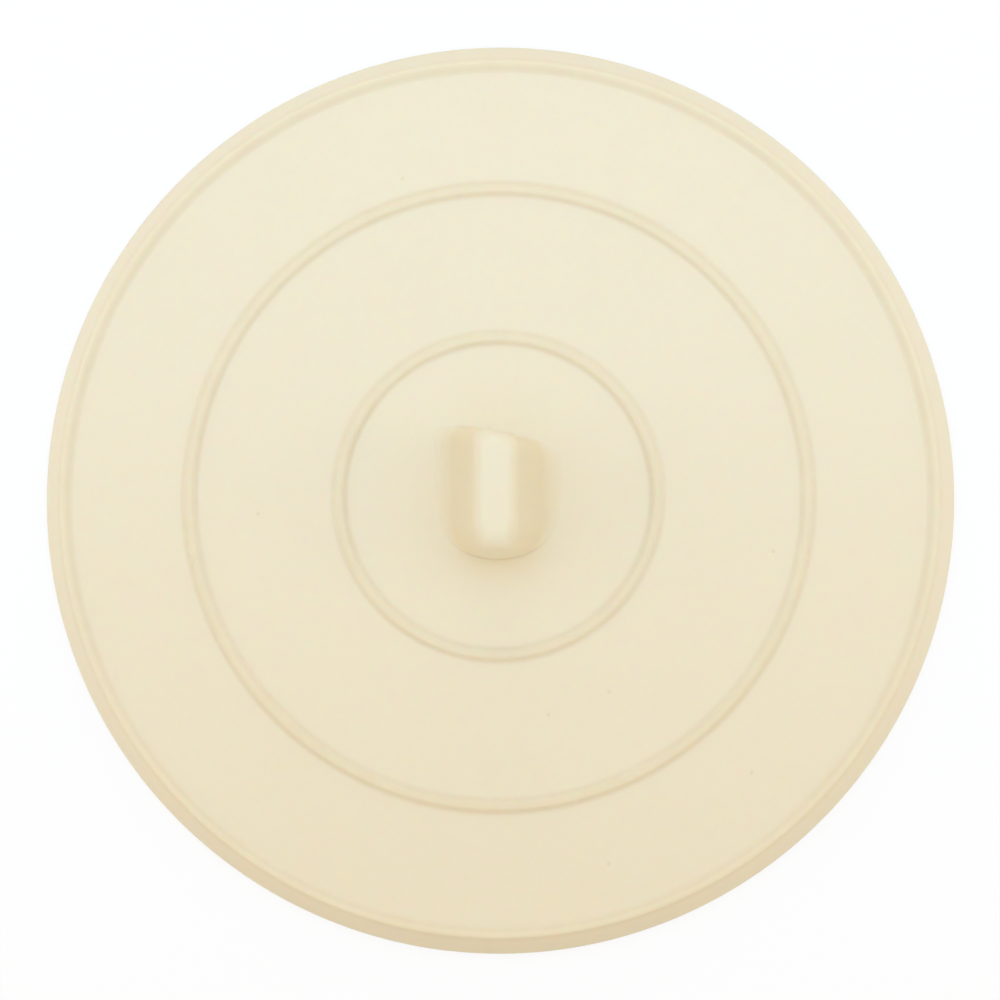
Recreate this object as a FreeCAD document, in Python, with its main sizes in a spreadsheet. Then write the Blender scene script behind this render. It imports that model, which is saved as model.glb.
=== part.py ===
import FreeCAD, Part
import os

import Sketcher

# A flat rubber drain stopper: a thin round disc with two raised ring beads and a raised bevelled rim, and a
# stubby finger tab moulded in the middle. Millimetres, +Z up, origin at the centre of the underside.
# The tab runs along Y: its far end is at +Y and its near end at -Y.

DIMENSIONS = {
    # disc
    "stopper_diameter": 127.0,
    "disc_thickness": 3.2,
    "outer_bead_diameter": 86.2,
    "inner_bead_diameter": 44.3,
    "bead_width": 1.9,
    "bead_crown_width": 0.9,
    "bead_rise": 0.5,
    # rim
    "rim_bevel_width": 2.25,
    "rim_crest_width": 0.5,
    "rim_slope_width": 0.7,
    "rim_rise": 0.6,
    "edge_land": 1.0,
    "edge_chamfer": 0.4,
    # tab, across its width
    "tab_height": 11.5,
    "tab_top_width": 3.9,
    "tab_crown_radius": 1.3,
    "tab_flank_draft": 19.0,
    "tab_root_radius": 3.8,
    "tab_root_land": 0.7,
    "tab_neck_height": 2.6,
    # tab, along its length
    "tab_length": 17.4,
    "near_end_draft": 5.0,
    "far_end_draft": 3.0,
    "root_end_draft": 30.0,
    "tab_corner_radius": 2.0,
    "near_end_radius": 10.2,
    "far_end_radius": 90.0,
    "far_end_skew": 12.5,
}

# Two levels closer than this count as one
SAME_LEVEL = 0.001

doc = FreeCAD.newDocument("drain_stopper")
sheet = doc.addObject("Spreadsheet::Sheet", "sheet")
for row, (alias, value) in enumerate(DIMENSIONS.items(), start=1):
    sheet.set(f"A{row}", alias)
    sheet.set(f"B{row}", str(value))
    sheet.setAlias(f"B{row}", alias)
doc.recompute()

# Levels and half widths that several pieces share, as expressions on the sheet
EDGE = "(sheet.stopper_diameter / 2)"
CREST_OUT = f"({EDGE} - sheet.rim_bevel_width)"
CREST_IN = f"({CREST_OUT} - sheet.rim_crest_width)"
DISC_TOP = "sheet.disc_thickness"
DISC_MIDDLE = f"({DISC_TOP} / 2)"
RIM_TOP = f"({DISC_TOP} + sheet.rim_rise)"
TAB_TOP = f"({DISC_TOP} + sheet.tab_height)"
ROOT_TOP = f"({DISC_TOP} + sheet.tab_root_radius * (1 - sin(sheet.tab_flank_draft)))"
NECK_FOOT = f"({ROOT_TOP} + sheet.tab_root_land)"
NECK_TOP = f"({NECK_FOOT} + sheet.tab_neck_height)"
CROWN_FOOT = f"({TAB_TOP} - sheet.tab_crown_radius * (1 - sin(sheet.tab_flank_draft)))"
TOP_HALF = "(sheet.tab_top_width / 2)"
CROWN_HALF = f"({TOP_HALF} + sheet.tab_crown_radius * cos(sheet.tab_flank_draft))"


def flank_half(level):
    """Half the tab's width at a level on its straight flanks."""
    return f"({CROWN_HALF} + ({CROWN_FOOT} - {level}) * tan(sheet.tab_flank_draft))"


FOOT_HALF = f"({flank_half(ROOT_TOP)} + sheet.tab_root_radius * cos(sheet.tab_flank_draft))"
TAB_TIP = "(sheet.tab_length / 2)"
CLEAR_OF_TAB = f"(sheet.tab_length + {FOOT_HALF})"
# The near end is never bowed tighter than the foot of the root is wide
NEAR_BOW = f"max(sheet.near_end_radius; {FOOT_HALF} + sheet.tab_root_land / 2)"


def size_of(expression):
    return float(sheet.evalExpression(expression))


def new_body(name):
    return doc.addObject("PartDesign::Body", name)


def new_sketch(body, name, role):
    """A sketch on one of the body's own origin planes."""
    plane = next(f for f in body.Origin.OriginFeatures if f.Role == role)
    sketch = body.newObject("Sketcher::SketchObject", name)
    sketch.AttachmentSupport = [(plane, "")]
    sketch.MapMode = "FlatFace"
    return sketch


def pin(sketch, geometry, end, point):
    """Bind one end of a line or arc to a pair of expressions measured from the sketch's origin."""
    for axis, expression in zip(("DistanceX", "DistanceY"), point):
        distance = Sketcher.Constraint(axis, -1, 1, geometry, end, size_of(expression))
        at = sketch.addConstraint(distance)
        sketch.setExpression(f"Constraints[{at}]", expression)


def arc_between(start, end, radius, centre_on_left):
    """The shorter arc from start to end, its centre on the chosen side of the way from one to the other.
    A sketch keeps its arcs anticlockwise, so one with its centre on the right is drawn from end to start."""
    chord = end - start
    left = FreeCAD.Vector(-chord.y, chord.x, 0).normalize()
    depth = (radius**2 - (chord.Length / 2) ** 2) ** 0.5
    centre = (start + end) * 0.5 + left * (depth if centre_on_left else -depth)
    circle = Part.Circle(centre, FreeCAD.Vector(0, 0, 1), radius)
    first, last = (start, end) if centre_on_left else (end, start)
    return Part.ArcOfCircle(circle, circle.parameter(first), circle.parameter(last))


def draw_outline(sketch, corners):
    """A closed outline of lines and arcs. Each corner is (x, y, bend): x and y are expressions, and bend is
    None for a line to the next corner, or (radius, centre_on_left) for an arc to it."""
    points = [FreeCAD.Vector(size_of(x), size_of(y), 0) for x, y, _ in corners]
    count = len(corners)
    ends = []
    for index, (_, _, bend) in enumerate(corners):
        start = points[index]
        end = points[(index + 1) % count]
        if bend is None:
            geometry = sketch.addGeometry(Part.LineSegment(start, end), False)
            ends.append((geometry, 1, 2))
            continue
        radius, centre_on_left = bend
        geometry = sketch.addGeometry(arc_between(start, end, size_of(radius), centre_on_left), False)
        at = sketch.addConstraint(Sketcher.Constraint("Radius", geometry, size_of(radius)))
        sketch.setExpression(f"Constraints[{at}]", radius)
        ends.append((geometry, 1, 2) if centre_on_left else (geometry, 2, 1))
    for index, (geometry, first, last) in enumerate(ends):
        following, next_first, _ = ends[(index + 1) % count]
        sketch.addConstraint(Sketcher.Constraint("Coincident", geometry, last, following, next_first))
        pin(sketch, geometry, first, corners[index][:2])


def new_form(name, section):
    """A body that carries the section along Y, for longer than the tab."""
    form = new_body(name)
    sketch = new_sketch(form, f"{name}_section", "XZ_Plane")
    draw_outline(sketch, section)
    bar = form.newObject("PartDesign::Pad", f"{name}_bar")
    bar.Profile = sketch
    bar.Midplane = True
    bar.setExpression("Length", CLEAR_OF_TAB)
    doc.recompute()
    return form


def cut_end(form, name, top, plan_radius, draft, toward, skew):
    """Cuts one end of a form to a drafted wall, bowed in plan. top is the level the form reaches, toward is 1
    for the far end and -1 for the near end, and skew turns the end about the middle of the tab."""
    clear_above = f"({top} + {DISC_MIDDLE})"
    out = "" if toward > 0 else "-"

    def wall_at(level):
        return f"{out}({TAB_TIP} - ({level} - {DISC_TOP}) * tan({draft}))"

    profile = new_sketch(form, f"{name}_profile", "YZ_Plane")
    upright = FreeCAD.Vector(0, 1, 0)
    profile.AttachmentOffset = FreeCAD.Placement(FreeCAD.Vector(), FreeCAD.Rotation(upright, 1))
    profile.setExpression("AttachmentOffset.Rotation.Angle", skew)
    draw_outline(profile, [
        (wall_at(DISC_MIDDLE), DISC_MIDDLE, None),
        (wall_at(clear_above), clear_above, None),
        (f"{out}{CLEAR_OF_TAB}", clear_above, None),
        (f"{out}{CLEAR_OF_TAB}", DISC_MIDDLE, None),
    ])
    turn_at = f"{out}({TAB_TIP} - {plan_radius})"
    axis_foot = FreeCAD.Vector(size_of(turn_at), 0, 0)
    axis = profile.addGeometry(Part.LineSegment(axis_foot, axis_foot + upright), True)
    pin(profile, axis, 1, (turn_at, DISC_TOP))
    pin(profile, axis, 2, (turn_at, clear_above))
    before = form.Tip.Shape.Volume
    groove = form.newObject("PartDesign::Groove", name)
    groove.Profile = profile
    groove.ReferenceAxis = (profile, ["Axis0"])
    groove.Midplane = True
    groove.Angle = 180
    doc.recompute()
    if groove.Shape.Volume >= before:
        raise RuntimeError(f"{name} cut nothing")


def cut_both_ends(form, top, near_draft, far_draft):
    cut_end(form, f"{form.Name}_near_end", top, NEAR_BOW, near_draft, -1, "0")
    cut_end(form, f"{form.Name}_far_end", top, "sheet.far_end_radius", far_draft, 1, "-sheet.far_end_skew")


# Tab form: the whole finger tab above the root, drafted all round, then rounded at its corners and its top
tab_form = new_form("tab_form", [
    (f"-{flank_half(DISC_MIDDLE)}", DISC_MIDDLE, None),
    (flank_half(DISC_MIDDLE), DISC_MIDDLE, None),
    (flank_half(TAB_TOP), TAB_TOP, None),
    (f"-{flank_half(TAB_TOP)}", TAB_TOP, None),
])
cut_both_ends(tab_form, TAB_TOP, "sheet.near_end_draft", "sheet.far_end_draft")


def round_edges(name, chosen, radius):
    """Rounds those edges of the tab that chosen picks by the levels they run between."""
    blade = tab_form.Tip
    levels = [(edge.BoundBox.ZMin, edge.BoundBox.ZMax) for edge in blade.Shape.Edges]
    rounding = tab_form.newObject("PartDesign::Fillet", name)
    rounding.Base = (blade, [f"Edge{index}" for index, ends in enumerate(levels, start=1) if chosen(*ends)])
    rounding.setExpression("Radius", radius)
    doc.recompute()


foot_level = size_of(DISC_TOP)
top_level = size_of(TAB_TOP)
round_edges("rounded_corners", lambda low, high: low < foot_level < high, "sheet.tab_corner_radius")
round_edges("rounded_top", lambda low, high: low > top_level - SAME_LEVEL, "sheet.tab_crown_radius")


def slice_of_tab(name, low, high):
    """The tab between two levels."""
    slab = doc.addObject("Part::Box", f"{name}_slab")
    slab.setExpression("Length", f"2 * {CLEAR_OF_TAB}")
    slab.setExpression("Width", f"2 * {CLEAR_OF_TAB}")
    slab.setExpression("Height", f"{high} - {low}")
    slab.setExpression("Placement.Base.x", f"-{CLEAR_OF_TAB}")
    slab.setExpression("Placement.Base.y", f"-{CLEAR_OF_TAB}")
    slab.setExpression("Placement.Base.z", low)
    piece = doc.addObject("Part::Common", name)
    piece.Base = tab_form
    piece.Tool = slab
    piece.Label = name
    doc.recompute()
    return piece


# Finger tab: the part that finger and thumb hold, down to the neck
finger_tab = slice_of_tab("finger_tab", NECK_TOP, TAB_TOP)

# Tab neck: the stretch of rubber that bends, on the tab's straight drafted flanks
tab_neck = slice_of_tab("tab_neck", NECK_FOOT, NECK_TOP)

# Tab root: the scoops that flare from the tab's flanks into the disc, fading out towards the ends
SCOOP = ("sheet.tab_root_radius", False)
root_form = new_form("root_form", [
    (f"-{FOOT_HALF}", DISC_MIDDLE, None),
    (FOOT_HALF, DISC_MIDDLE, None),
    (FOOT_HALF, DISC_TOP, SCOOP),
    (flank_half(ROOT_TOP), ROOT_TOP, None),
    (flank_half(NECK_FOOT), NECK_FOOT, None),
    (f"-{flank_half(NECK_FOOT)}", NECK_FOOT, None),
    (f"-{flank_half(ROOT_TOP)}", ROOT_TOP, SCOOP),
    (f"-{FOOT_HALF}", DISC_TOP, None),
])
cut_both_ends(root_form, NECK_FOOT, "sheet.root_end_draft", "sheet.root_end_draft")

# Sealing disc: the turned disc with its raised rim and ring beads, in one with the tab's root
disc = new_body("disc")
profile = new_sketch(disc, "disc_profile", "XZ_Plane")
draw_outline(profile, [
    ("0", "0", None),
    (f"{EDGE} - sheet.edge_chamfer", "0", None),
    (EDGE, "sheet.edge_chamfer", None),
    (EDGE, "sheet.edge_land", None),
    (CREST_OUT, RIM_TOP, None),
    (CREST_IN, RIM_TOP, None),
    (f"{CREST_IN} - sheet.rim_slope_width", DISC_TOP, None),
    ("0", DISC_TOP, None),
])


def revolve(sketch, name):
    feature = disc.newObject("PartDesign::Revolution", name)
    feature.Profile = sketch
    feature.ReferenceAxis = (sketch, ["V_Axis"])
    feature.Angle = 360
    doc.recompute()


revolve(profile, "disc_with_rim")
for ring in ("inner", "outer"):
    middle = f"sheet.{ring}_bead_diameter / 2"
    section = new_sketch(disc, f"{ring}_bead_section", "XZ_Plane")
    draw_outline(section, [
        (f"{middle} - sheet.bead_width / 2", DISC_MIDDLE, None),
        (f"{middle} + sheet.bead_width / 2", DISC_MIDDLE, None),
        (f"{middle} + sheet.bead_width / 2", DISC_TOP, None),
        (f"{middle} + sheet.bead_crown_width / 2", f"{DISC_TOP} + sheet.bead_rise", None),
        (f"{middle} - sheet.bead_crown_width / 2", f"{DISC_TOP} + sheet.bead_rise", None),
        (f"{middle} - sheet.bead_width / 2", DISC_TOP, None),
    ])
    revolve(section, f"{ring}_bead")
sealing_disc = doc.addObject("Part::MultiFuse", "sealing_disc")
sealing_disc.Shapes = [disc, root_form, slice_of_tab("tab_stub", DISC_MIDDLE, NECK_FOOT)]
sealing_disc.Refine = True
sealing_disc.Label = "sealing_disc"

# Check everything, then write one file for each piece
doc.recompute()
for item in doc.Objects:
    if "Invalid" in item.State or "Error" in item.State:
        raise RuntimeError(f"{item.Name}: {item.State}")
pieces = (sealing_disc, tab_neck, finger_tab)
for piece in pieces:
    if piece.Shape.isNull() or not piece.Shape.isValid() or len(piece.Shape.Solids) != 1:
        raise RuntimeError(f"{piece.Label} is not one sound solid")
os.makedirs("parts", exist_ok=True)
for piece in pieces:
    piece.Shape.exportStep(os.path.join("parts", f"{piece.Label}.step"))
    print(f"{piece.Label}: {piece.Shape.Volume / 1000:.3f} cm3, {len(piece.Shape.Faces)} faces")
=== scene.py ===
import math

import bpy
import numpy as np
from mathutils import Matrix, Vector


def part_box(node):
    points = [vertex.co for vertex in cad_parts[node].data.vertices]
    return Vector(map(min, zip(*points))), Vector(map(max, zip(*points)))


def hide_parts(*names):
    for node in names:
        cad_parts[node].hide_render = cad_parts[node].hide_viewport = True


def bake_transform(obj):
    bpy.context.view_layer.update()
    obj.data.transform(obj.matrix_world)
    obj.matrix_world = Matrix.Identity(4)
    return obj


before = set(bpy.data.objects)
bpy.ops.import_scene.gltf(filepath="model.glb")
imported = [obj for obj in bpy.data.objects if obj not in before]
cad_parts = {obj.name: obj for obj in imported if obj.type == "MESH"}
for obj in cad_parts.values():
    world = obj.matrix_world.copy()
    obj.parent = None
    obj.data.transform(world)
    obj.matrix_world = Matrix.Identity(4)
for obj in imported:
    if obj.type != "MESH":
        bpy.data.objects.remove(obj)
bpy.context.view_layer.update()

# Sealing disc: the thin sheet that lies over the drain, with a flat underside, a raised bevelled rim and two
# ring beads. Cream rubber pressed in a turned mould, so one profile goes all the way round it.
# The whole moulding is one skin: closed rows, each with one point and one value of painted shade on every
# spoke.
MM = 0.001
SPOKES = 360
turn = np.linspace(0, 2 * np.pi, SPOKES, endpoint=False)
spoke = np.stack((np.cos(turn), np.sin(turn)), axis=1)
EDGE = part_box("sealing_disc")[1].x
DISC_TOP = 3.2 * MM
EDGE_CHAMFER = 0.4 * MM
EDGE_LAND = 1.0 * MM
RIM_TOP = DISC_TOP + 0.45 * MM
RIM_CREST_OUT = EDGE - 2.3 * MM
RIM_CREST_IN = RIM_CREST_OUT - 0.45 * MM
RIM_FOOT = RIM_CREST_IN - 1.2 * MM
INNER_BEAD = 22.15 * MM
OUTER_BEAD = 43.1 * MM
BEAD_HALF = 0.95 * MM
BEAD_CROWN_HALF = 0.45 * MM
BEAD_TOP = DISC_TOP + 0.35 * MM
CHAMFER_ROUND = 0.1 * MM
LAND_ROUND = 0.2 * MM
CREST_ROUND = 0.4 * MM
SOFT_ROUND = 0.8 * MM
PLAIN_WITHIN = 15 * MM
LONGEST_STEP = 1.6 * MM
ARC_STEPS = 4


def ring(radius, level):
    """One closed row of points, at a radius on each spoke and a level."""
    levels = np.broadcast_to(level, SPOKES)
    return np.column_stack((spoke * np.broadcast_to(radius, SPOKES)[:, None], levels))


def bead(middle):
    """The corners of a ring bead's section, from its outer foot to its inner one."""
    return [
        (middle + BEAD_HALF, DISC_TOP, SOFT_ROUND),
        (middle + BEAD_CROWN_HALF, BEAD_TOP, SOFT_ROUND),
        (middle - BEAD_CROWN_HALF, BEAD_TOP, SOFT_ROUND),
        (middle - BEAD_HALF, DISC_TOP, SOFT_ROUND),
    ]


def rounded(corners):
    """The corners' path with each corner rounded to its radius and long runs divided."""
    path = [np.array(corners[0][:2])]
    for before, (x, z, radius), after in zip(corners, corners[1:], corners[2:]):
        corner = np.array((x, z))
        into = corner - np.array(before[:2])
        away = np.array(after[:2]) - corner
        into = into / np.linalg.norm(into)
        away = away / np.linalg.norm(away)
        half_turn = math.acos(np.clip(into @ away, -1, 1)) / 2
        length = radius * math.tan(half_turn)
        for share in np.linspace(0, 1, ARC_STEPS + 1):
            arriving = corner - into * length * (1 - share)
            leaving = corner + away * length * share
            path.append(arriving * (1 - share) + leaving * share)
    path.append(np.array(corners[-1][:2]))
    divided = [path[0]]
    for point in path[1:]:
        last = divided[-1]
        pieces = max(1, math.ceil(np.linalg.norm(point - last) / LONGEST_STEP))
        for piece in range(1, pieces + 1):
            divided.append(last + (point - last) * piece / pieces)
    return divided


profile = [
    (LONGEST_STEP, 0, 0),
    (EDGE - EDGE_CHAMFER, 0, CHAMFER_ROUND),
    (EDGE, EDGE_CHAMFER, CHAMFER_ROUND),
    (EDGE, EDGE_LAND, LAND_ROUND),
    (RIM_CREST_OUT, RIM_TOP, CREST_ROUND),
    (RIM_CREST_IN, RIM_TOP, SOFT_ROUND),
    (RIM_FOOT, DISC_TOP, SOFT_ROUND),
    *bead(OUTER_BEAD),
    *bead(INNER_BEAD),
    (PLAIN_WITHIN, DISC_TOP, 0),
]
rings = []
painted_shade = []
for radius, level in rounded(profile):
    rings.append(ring(radius, level))
    painted_shade.append(np.zeros(SPOKES))

# Tab root: the scoops where the tab's flanks flare out into the disc, which stop the tab tearing as it bends.
# Cream rubber, moulded in one with the tab and the disc. They run out softly towards the tab's two ends.
tab_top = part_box("finger_tab")[1].z
FLANK_DRAFT = math.radians(19)
TOP_HALF = 1.52 * MM
CROWN_RADIUS = 1.9 * MM
CROWN_FOOT = tab_top - CROWN_RADIUS * (1 - math.sin(FLANK_DRAFT))
CROWN_HALF = TOP_HALF + CROWN_RADIUS * math.cos(FLANK_DRAFT)
TAB_TIP = 8.7 * MM
NEAR_END_DRAFT = math.radians(3)
NEAR_END_ROUNDING = 2.8 * MM
NEAR_END_RADIUS = 10.2 * MM
NEAR_WALL_SHARE = 0.45
NEAR_CORNER_SHARE = 0.5
FAR_END_DRAFT = math.radians(3)
FAR_END_ROUNDING = 1.3 * MM
FAR_END_RADIUS = 90 * MM
FAR_END_SKEW = math.radians(12.5)
CORNER_RADIUS = 2.0 * MM
CORNER_LIMIT = 0.9
END_FOOT_RADIUS = 0.15 * MM
END_LINE_WIDTH = 0.15 * MM
END_LINE_HEIGHT = 0.5 * MM
END_LINE_SHADE = 0.4
ROOT_RADIUS = 3.8 * MM
ROOT_TOP = DISC_TOP + ROOT_RADIUS * (1 - math.sin(FLANK_DRAFT))
ROOT_END_DRAFT = math.radians(30)
ROOT_CORNER = 2.6 * MM
ROOT_BLEND = 0.6 * MM
LEAST_BLEND = 0.001 * MM
SCOOP_STEPS = 16
FOOT_STEPS = 6
HALVINGS = 40


def flank_half(level):
    """Half the tab's width at a level, on the crown or on the straight flank below it."""
    if level < CROWN_FOOT:
        return CROWN_HALF + (CROWN_FOOT - level) * math.tan(FLANK_DRAFT)
    above_centre = min(level - (tab_top - CROWN_RADIUS), CROWN_RADIUS)
    return TOP_HALF + math.sqrt(CROWN_RADIUS**2 - above_centre**2)


def end_inset(level, draft, rounding):
    """How far an end wall stands in from its line on the disc: foot radius, draft, then the rounding."""
    inset = (level - DISC_TOP) * math.tan(draft)
    above_centre = level - (tab_top - rounding)
    if above_centre > 0:
        inset += rounding - math.sqrt(max(rounding**2 - above_centre**2, 0))
    below_foot = END_FOOT_RADIUS - (level - DISC_TOP)
    if below_foot > 0:
        inset -= END_FOOT_RADIUS - math.sqrt(END_FOOT_RADIUS**2 - below_foot**2)
    return inset


def past_near_end(x, y, inset):
    """How far points lie past the bowed near wall, below 0 inside it."""
    middle = NEAR_END_RADIUS - TAB_TIP
    return np.where(y < middle, np.hypot(x, y - middle), np.abs(x)) - (NEAR_END_RADIUS - inset)


def past_far_end(x, y, inset):
    """How far points lie past the askew far wall, below 0 inside it."""
    middle = TAB_TIP - FAR_END_RADIUS
    across = x * math.cos(FAR_END_SKEW) - y * math.sin(FAR_END_SKEW)
    along = x * math.sin(FAR_END_SKEW) + y * math.cos(FAR_END_SKEW)
    return np.where(along > 0, np.hypot(across, along - middle), 0) - (FAR_END_RADIUS - inset)


def round_both(a, b, radius):
    """Inside both of two shapes, with a rounded corner between them."""
    corner = np.hypot(np.maximum(a + radius, 0), np.maximum(b + radius, 0))
    return np.minimum(np.maximum(a, b), -radius) + corner


def reach(half, near_inset, far_inset, corner):
    """How far each spoke runs inside a slab of that half width between the tab's two ends."""
    low = np.zeros(SPOKES)
    high = np.full(SPOKES, 2 * TAB_TIP)
    for _ in range(HALVINGS):
        middle = (low + high) / 2
        x = middle * spoke[:, 0]
        y = middle * spoke[:, 1]
        ends = np.maximum(past_near_end(x, y, near_inset), past_far_end(x, y, far_inset))
        inside = round_both(np.abs(x) - half, ends, corner) < 0
        low = np.where(inside, middle, low)
        high = np.where(inside, high, middle)
    return low


def tab_reach(level):
    """The tab's own outline at a level, without the scoops."""
    half = flank_half(level)
    near_inset = end_inset(level, NEAR_END_DRAFT, NEAR_END_ROUNDING)
    far_inset = end_inset(level, FAR_END_DRAFT, FAR_END_ROUNDING)
    return reach(half, near_inset, far_inset, min(CORNER_RADIUS, CORNER_LIMIT * half))


def root_reach(level):
    """The scoops' outline at a level, joined to the tab's with a small round."""
    drop = ROOT_RADIUS - (level - DISC_TOP)
    foot_half = flank_half(ROOT_TOP) + ROOT_RADIUS * math.cos(FLANK_DRAFT)
    half = foot_half - math.sqrt(max(ROOT_RADIUS**2 - drop**2, 0))
    inset = (level - DISC_TOP) * math.tan(ROOT_END_DRAFT)
    scoops = reach(half, inset, inset, ROOT_CORNER)
    tab = tab_reach(level)
    blend = min(ROOT_BLEND, (half - flank_half(level)) / 2) + LEAST_BLEND
    gap = np.maximum(blend - np.abs(scoops - tab), 0)
    return np.maximum(scoops, tab) + gap**2 / (4 * blend)


def off_near_end(outline):
    """0 on the near end's wall, 1 on the flanks, the scoops and the far end, and a slope between."""
    aside = np.abs(outline * spoke[:, 0])
    past_wall = (aside / aside.max() - NEAR_WALL_SHARE) / NEAR_CORNER_SHARE
    return np.where(spoke[:, 1] > 0, 1, np.clip(past_wall, 0, 1))


foot_reach = root_reach(DISC_TOP)
foot_shares = [step / FOOT_STEPS for step in range(1, FOOT_STEPS)]
foot_rows = [PLAIN_WITHIN + (foot_reach - PLAIN_WITHIN) * share for share in foot_shares]
for outline in (*foot_rows, foot_reach + END_LINE_WIDTH):
    rings.append(ring(outline, DISC_TOP))
    painted_shade.append(np.zeros(SPOKES))
# Painted shade: the scoops darken up towards the flanks and at the far end, and a painted dark line lies at
# the foot of the near end's wall.
for step in range(SCOOP_STEPS + 1):
    lean = (math.pi / 2 - FLANK_DRAFT) * step / SCOOP_STEPS
    rise = ROOT_RADIUS * (1 - math.cos(lean))
    outline = root_reach(DISC_TOP + rise)
    rings.append(ring(outline, DISC_TOP + rise))
    painted_flank_shade = off_near_end(outline) * math.sin(math.pi / 2 * step / SCOOP_STEPS)
    painted_near_line = (1 - off_near_end(outline)) ** 2 * max(1 - rise / END_LINE_HEIGHT, 0)
    painted_shade.append(painted_flank_shade + END_LINE_SHADE * painted_near_line)

# Finger tab: a stubby grip that finger and thumb pinch to peel the stopper off its drain.
# Cream rubber in one with the disc: drafted flanks, a rounded crown, a bowed near end and an askew far end.
FLANK_STEPS = 10
CROWN_STEPS = 12
CROWN_SHADE_LOSS = 0.2
TOP_ROW_SHARES = (0.87, 0.7, 0.5, 0.3, 0.12)
# Painted shade on the flanks and the far end, lessening up the flanks and fading out over the crown; none on
# the near wall or the top.
for step in range(1, FLANK_STEPS):
    share = step / FLANK_STEPS
    level = ROOT_TOP + (CROWN_FOOT - ROOT_TOP) * share
    outline = tab_reach(level)
    rings.append(ring(outline, level))
    painted_shade.append(off_near_end(outline) * (1 - CROWN_SHADE_LOSS * share))
for step in range(CROWN_STEPS + 1):
    lean = FLANK_DRAFT + (math.pi / 2 - FLANK_DRAFT) * step / CROWN_STEPS
    level = tab_top - CROWN_RADIUS * (1 - math.sin(lean))
    outline = tab_reach(level)
    rings.append(ring(outline, level))
    painted_shade.append(off_near_end(outline) * (1 - CROWN_SHADE_LOSS) * (1 - (step / CROWN_STEPS) ** 2))
top_reach = tab_reach(tab_top)
for share in TOP_ROW_SHARES:
    rings.append(ring(top_reach * share, tab_top))
    painted_shade.append(np.zeros(SPOKES))

# Moulding: the disc, the root and the tab come out of the mould as one piece of cream rubber, with no seam.
# The neck of the tab is the only part that bends.
points = np.concatenate(rings)
base_centre = len(points)
crown_centre = base_centre + 1
last_row = base_centre - SPOKES


def band(first):
    """The faces between the row that starts at a point and the row after it."""
    sides = []
    for column in range(SPOKES):
        following = (column + 1) % SPOKES
        sides.append((first + column, first + following, first + SPOKES + following, first + SPOKES + column))
    return sides


faces = []
for first in range(0, last_row, SPOKES):
    faces.extend(band(first))
for column in range(SPOKES):
    following = (column + 1) % SPOKES
    faces.append((base_centre, following, column))
    faces.append((crown_centre, last_row + column, last_row + following))
points = np.vstack((points, (0, 0, 0), (0, 0, tab_top)))
mesh = bpy.data.meshes.new("stopper_moulding")
mesh.from_pydata(points.tolist(), [], faces)
mesh.update()
mesh.polygons.foreach_set("use_smooth", [True] * len(mesh.polygons))
moulding = bpy.data.objects.new("stopper_moulding", mesh)
bpy.context.scene.collection.objects.link(moulding)
rest_place = mesh.attributes.new("rest_place", "FLOAT_VECTOR", "POINT")
rest_place.data.foreach_set("vector", points.astype(np.float32).ravel())
# The painted shade goes to the rubber's colour as a point attribute.
painted_tab_shade = mesh.attributes.new("painted_tab_shade", "FLOAT", "POINT")
painted_tab_shade.data.foreach_set("value", np.concatenate((*painted_shade, (0, 0))).astype(np.float32))
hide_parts("sealing_disc", "tab_neck", "finger_tab")
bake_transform(moulding)

# Cream rubber: the stuff of the whole moulding, pale, matt, slightly mottled and slightly translucent, with
# the fine grain of the mould. Its colour has painted shade along the slopes and crests of the beads and the
# rim, and on the tab's flanks, scoops and far end and at the foot of its near end, and it has a few dark
# flecks.
CREAM = (0.89, 0.803, 0.592, 1)
TAN = (0.757, 0.635, 0.405, 1)
MARKS_FROM = 0.5 * DISC_TOP
MARKS_FULL = 0.7 * DISC_TOP
LINE_HALF = 0.9 * MM
BEAD_CREST_SHADE = 0.4
RIM_CREST_SHADE = 0.7
RING_SHADE_TINT = 0.26
RING_SHADE_PATCH_TINT = 0.31
# How far the painted shade on the tab turns the cream towards tan.
TAB_SHADE_TINT = 0.7
MOTTLE_TINT = 0.15
MOTTLE_MIDDLE = 0.5
FLECK_TINT = 0.5
FLECK_RADIUS = 0.45 * MM
FLECKS_MM = (
    (-33.5, -2.4),
    (38.2, -7.8),
    (15.4, -27.2),
    (7.0, -30.4),
    (35.1, -38.4),
    (15.3, -51.0),
    (-13.4, 44.6),
)
MOTTLES_PER_METRE = 90
PATCHES_PER_METRE = 300
GRAINS_PER_METRE = 4000
GRAIN_DEPTH = 0.02 * MM
ROUGHNESS = 0.5
ROUGHNESS_SPREAD = 0.1


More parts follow.
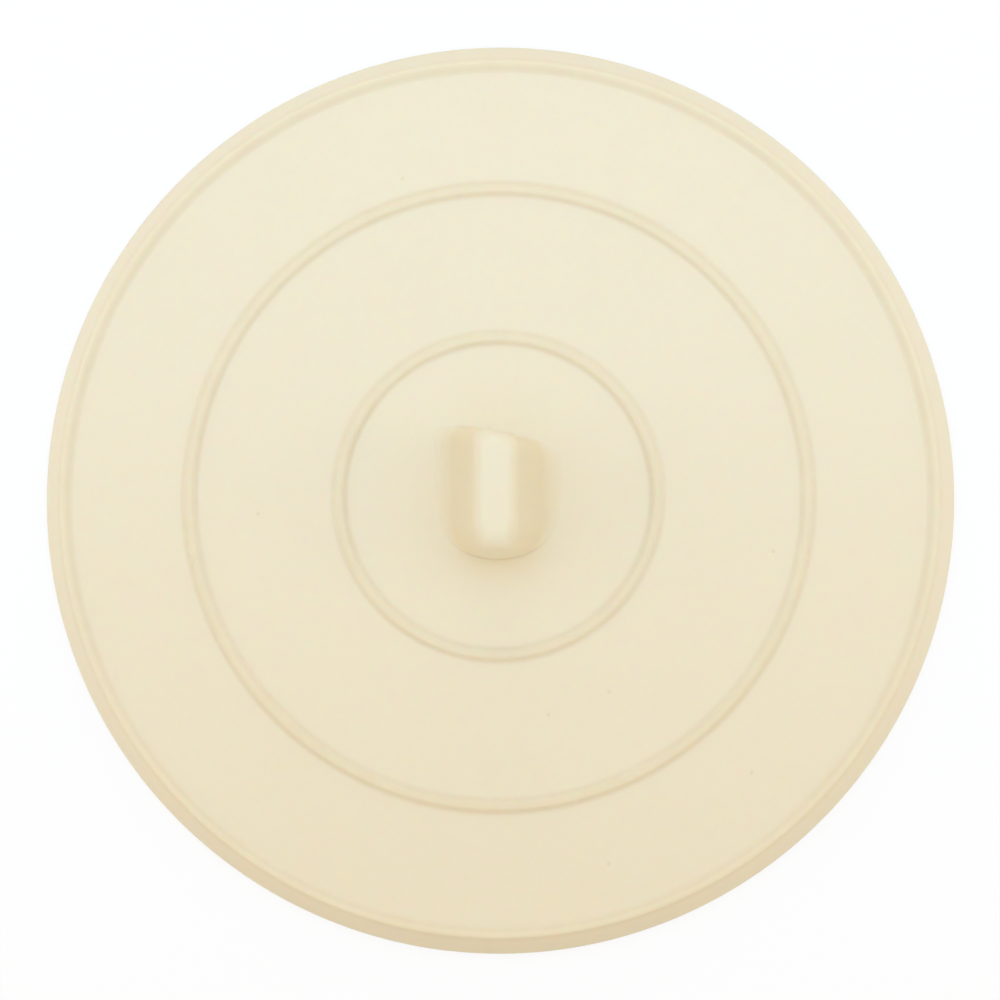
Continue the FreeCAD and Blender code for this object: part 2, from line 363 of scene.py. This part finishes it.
class Wire:
    """An output socket in a material. Arithmetic on it adds Math nodes, and node() adds any other kind."""

    def __init__(self, tree, socket=None):
        self.tree = tree
        self.socket = socket

    def node(self, kind, settings=None, inputs=None, output=0):
        """Adds a node, sets its own settings, then gives each input its value or its link."""
        made = self.tree.nodes.new(kind)
        for name, value in (settings or {}).items():
            setattr(made, name, value)
        for name, value in (inputs or {}).items():
            if isinstance(value, Wire):
                self.tree.links.new(value.socket, made.inputs[name])
            else:
                made.inputs[name].default_value = value
        return Wire(self.tree, made.outputs[output] if made.outputs else None)

    def sum(self, operation, *values):
        return self.node("ShaderNodeMath", {"operation": operation}, dict(enumerate(values)))

    def __add__(self, other):
        return self.sum("ADD", self, other)

    __radd__ = __add__

    def __mul__(self, other):
        return self.sum("MULTIPLY", self, other)

    __rmul__ = __mul__

    def __sub__(self, other):
        return self.sum("SUBTRACT", self, other)

    def __rsub__(self, other):
        return self.sum("SUBTRACT", other, self)

    def fall(self, near, far):
        """1 where this is under near, 0 where it is over far, and smooth between."""
        inputs = {"Value": self, "From Min": near, "From Max": far, "To Min": 1, "To Max": 0}
        return self.node("ShaderNodeMapRange", {"interpolation_type": "SMOOTHSTEP"}, inputs)


def new_material(name):
    material = bpy.data.materials.new(name)
    material.use_nodes = True
    material.node_tree.nodes.clear()
    return material


rubber = new_material("cream_rubber")
start = Wire(rubber.node_tree)
place = start.node("ShaderNodeAttribute", {"attribute_name": "rest_place"}, output="Vector")
painted_tab_shade_level = start.node("ShaderNodeAttribute", {"attribute_name": "painted_tab_shade"}, output="Fac")
x, y, z = (start.node("ShaderNodeSeparateXYZ", {}, {0: place}, output=axis) for axis in "XYZ")
on_top = 1 - z.fall(MARKS_FROM, MARKS_FULL)
from_middle = start.sum("SQRT", x * x + y * y)


def noise(per_metre, detail):
    inputs = {"Vector": place, "Scale": per_metre, "Detail": detail}
    return start.node("ShaderNodeTexNoise", {}, inputs, output="Fac")


mottle = noise(MOTTLES_PER_METRE, detail=3)
patchy = noise(PATCHES_PER_METRE, detail=2)
grain = noise(GRAINS_PER_METRE, detail=2)
# Painted shade: tan circles on the slopes of the rim and the beads, fainter on their crests, in patches.
slope_middle = (BEAD_HALF + BEAD_CROWN_HALF) / 2
shaded_circles = [((RIM_FOOT + RIM_CREST_IN) / 2, 1), (RIM_CREST_OUT, RIM_CREST_SHADE)]
for middle in (INNER_BEAD, OUTER_BEAD):
    shaded_circles.extend(((middle - slope_middle, 1), (middle, BEAD_CREST_SHADE), (middle + slope_middle, 1)))
painted_ring_shade = 0
for radius, strength in shaded_circles:
    painted_ring_shade = painted_ring_shade + start.sum("ABSOLUTE", from_middle - radius).fall(0, LINE_HALF) * strength
flecks = 0
for fleck_x, fleck_y in FLECKS_MM:
    along = x - fleck_x * MM
    across = y - fleck_y * MM
    flecks = flecks + start.sum("SQRT", along * along + across * across).fall(0, FLECK_RADIUS)
shade_and_flecks = painted_ring_shade * (RING_SHADE_TINT + patchy * RING_SHADE_PATCH_TINT) + flecks * FLECK_TINT
# The colour moves between cream and tan with the painted shade, the flecks and the random mottle.
shade_and_tone = shade_and_flecks * on_top + painted_tab_shade_level * TAB_SHADE_TINT + (mottle - MOTTLE_MIDDLE) * MOTTLE_TINT
colour = start.node("ShaderNodeMix", {"data_type": "RGBA"}, {0: shade_and_tone, 6: CREAM, 7: TAN}, output=2)
bump_inputs = {"Strength": 0.1, "Distance": GRAIN_DEPTH, "Height": grain}
bump = start.node("ShaderNodeBump", {}, bump_inputs, output="Normal")
surface = start.node(
    "ShaderNodeBsdfPrincipled",
    {},
    {
        "Base Color": colour,
        "Roughness": ROUGHNESS + mottle * ROUGHNESS_SPREAD,
        "Normal": bump,
        "Specular IOR Level": 0.4,
        "Subsurface Weight": 0.6,
        "Subsurface Radius": (1.1, 0.6, 0.3),
        "Subsurface Scale": 1.5 * MM,
    },
)
start.node("ShaderNodeOutputMaterial", {}, {"Surface": surface})
mesh.materials.append(rubber)

# Studio: a white paper floor, an even sky, a wide soft lamp over the far side and three weak fills.
# The floor shows white to the camera and still takes the stopper's shadow. It is open under the stopper, so
# that the underside has light when it is looked at from below.
FLOOR_REACH = 2.0
FLOOR_OPENING = EDGE - 2 * EDGE_CHAMFER
PAPER_LEVEL = 0.5
WHITE = (1, 1, 1, 1)
PLAIN_SHARE = 0.85
SKY_LEVEL = 0.75
SKY_COLOUR = (1.085, 1, 0.9, 1)
PANEL_FORWARD = 0.06
PANEL_HEIGHT = 0.15
PANEL_WIDTH = 0.4
PANEL_DEPTH = 0.12
PANEL_POWER = 0.094
PANEL_COLOUR = (0.42, 1, 1.75)
FILL_AWAY = 0.4
FILL_HEIGHT = 0.12
FILL_WIDTH = 0.3
FILL_DEPTH = 0.2
SIDE_FILL_POWER = 0.2
FAR_FILL_POWER = 0.14
floor_points = np.concatenate((ring(FLOOR_REACH, 0), ring(FLOOR_OPENING, 0)))
floor_mesh = bpy.data.meshes.new("floor")
floor_mesh.from_pydata(floor_points.tolist(), [], band(0))
floor = bpy.data.objects.new("floor", floor_mesh)
bpy.context.scene.collection.objects.link(floor)
paper = new_material("white_paper")
start = Wire(paper.node_tree)
seen, mirrored, through = (
    start.node("ShaderNodeLightPath", output=f"Is {kind} Ray")
    for kind in ("Camera", "Glossy", "Transmission")
)
looked_at = start.sum("MAXIMUM", seen, start.sum("MAXIMUM", mirrored, through))
lit = start.node("ShaderNodeBsdfDiffuse", {}, {"Color": PAPER_LEVEL + looked_at * (1 - PAPER_LEVEL)})
plain = start.node("ShaderNodeEmission", {}, {"Color": WHITE, "Strength": 1})
top_side = start.node("ShaderNodeMixShader", {}, {0: looked_at * PLAIN_SHARE, 1: lit, 2: plain})
under_side = start.node("ShaderNodeBsdfTransparent")
from_below = start.node("ShaderNodeNewGeometry", output="Backfacing")
one_sided = start.node("ShaderNodeMixShader", {}, {0: from_below, 1: top_side, 2: under_side})
start.node("ShaderNodeOutputMaterial", {}, {"Surface": one_sided})
floor_mesh.materials.append(paper)

sky = bpy.data.worlds.new("studio")
bpy.context.scene.world = sky
sky.use_nodes = True
sky.node_tree.nodes.clear()
start = Wire(sky.node_tree)
seen = start.node("ShaderNodeLightPath", output="Is Camera Ray")
even = start.node("ShaderNodeBackground", {}, {"Color": SKY_COLOUR, "Strength": SKY_LEVEL})
white = start.node("ShaderNodeBackground", {}, {"Color": WHITE, "Strength": 1})
backdrop = start.node("ShaderNodeMixShader", {}, {0: seen, 1: even, 2: white})
start.node("ShaderNodeOutputWorld", {}, {"Surface": backdrop})


def soft_lamp(name, place, aim, width, depth, power, colour):
    """A rectangular lamp that faces a point on the floor."""
    lamp_data = bpy.data.lights.new(name, "AREA")
    lamp_data.shape = "RECTANGLE"
    lamp_data.size = width
    lamp_data.size_y = depth
    lamp_data.energy = power
    lamp_data.color = colour
    lamp = bpy.data.objects.new(name, lamp_data)
    lamp.location = place
    lamp.rotation_euler = (Vector(place) - Vector(aim)).to_track_quat("Z", "Y").to_euler()
    bpy.context.scene.collection.objects.link(lamp)


panel_place = (0, PANEL_FORWARD, PANEL_HEIGHT)
panel_aim = (0, PANEL_FORWARD, 0)
soft_lamp("far_panel", panel_place, panel_aim, PANEL_WIDTH, PANEL_DEPTH, PANEL_POWER, PANEL_COLOUR)
for name, right, forward, power in (
    ("left_fill", -1, 0, SIDE_FILL_POWER),
    ("right_fill", 1, 0, SIDE_FILL_POWER),
    ("far_fill", 0, 1, FAR_FILL_POWER),
):
    fill_place = (right * FILL_AWAY, forward * FILL_AWAY, FILL_HEIGHT)
    soft_lamp(name, fill_place, (0, 0, 0), FILL_WIDTH, FILL_DEPTH, power, WHITE[:3])

# Camera: on a long lens almost straight above, leaning a little towards the near right.
# The tab's far end is up in the picture, and the disc fills most of the square.
AZIMUTH = math.radians(27.5)
ELEVATION = math.radians(85.9)
DISTANCE = 0.5
AIM = Vector((0.000165, -0.00036, 0))
SENSOR_WIDTH = 36
LENS = 128.45
away = Vector((
    math.sin(AZIMUTH) * math.cos(ELEVATION),
    -math.cos(AZIMUTH) * math.cos(ELEVATION),
    math.sin(ELEVATION),
))
across = Vector((0, 1, 0)).cross(away).normalized()
upward = away.cross(across)
camera_data = bpy.data.cameras.new("camera")
camera_data.sensor_width = SENSOR_WIDTH
camera_data.lens = LENS
camera = bpy.data.objects.new("camera", camera_data)
facing = Matrix((across, upward, away)).transposed().to_4x4()
camera.matrix_world = Matrix.Translation(AIM + away * DISTANCE) @ facing
bpy.context.scene.collection.objects.link(camera)
bpy.context.scene.camera = camera
bpy.context.scene.view_settings.view_transform = "Standard"
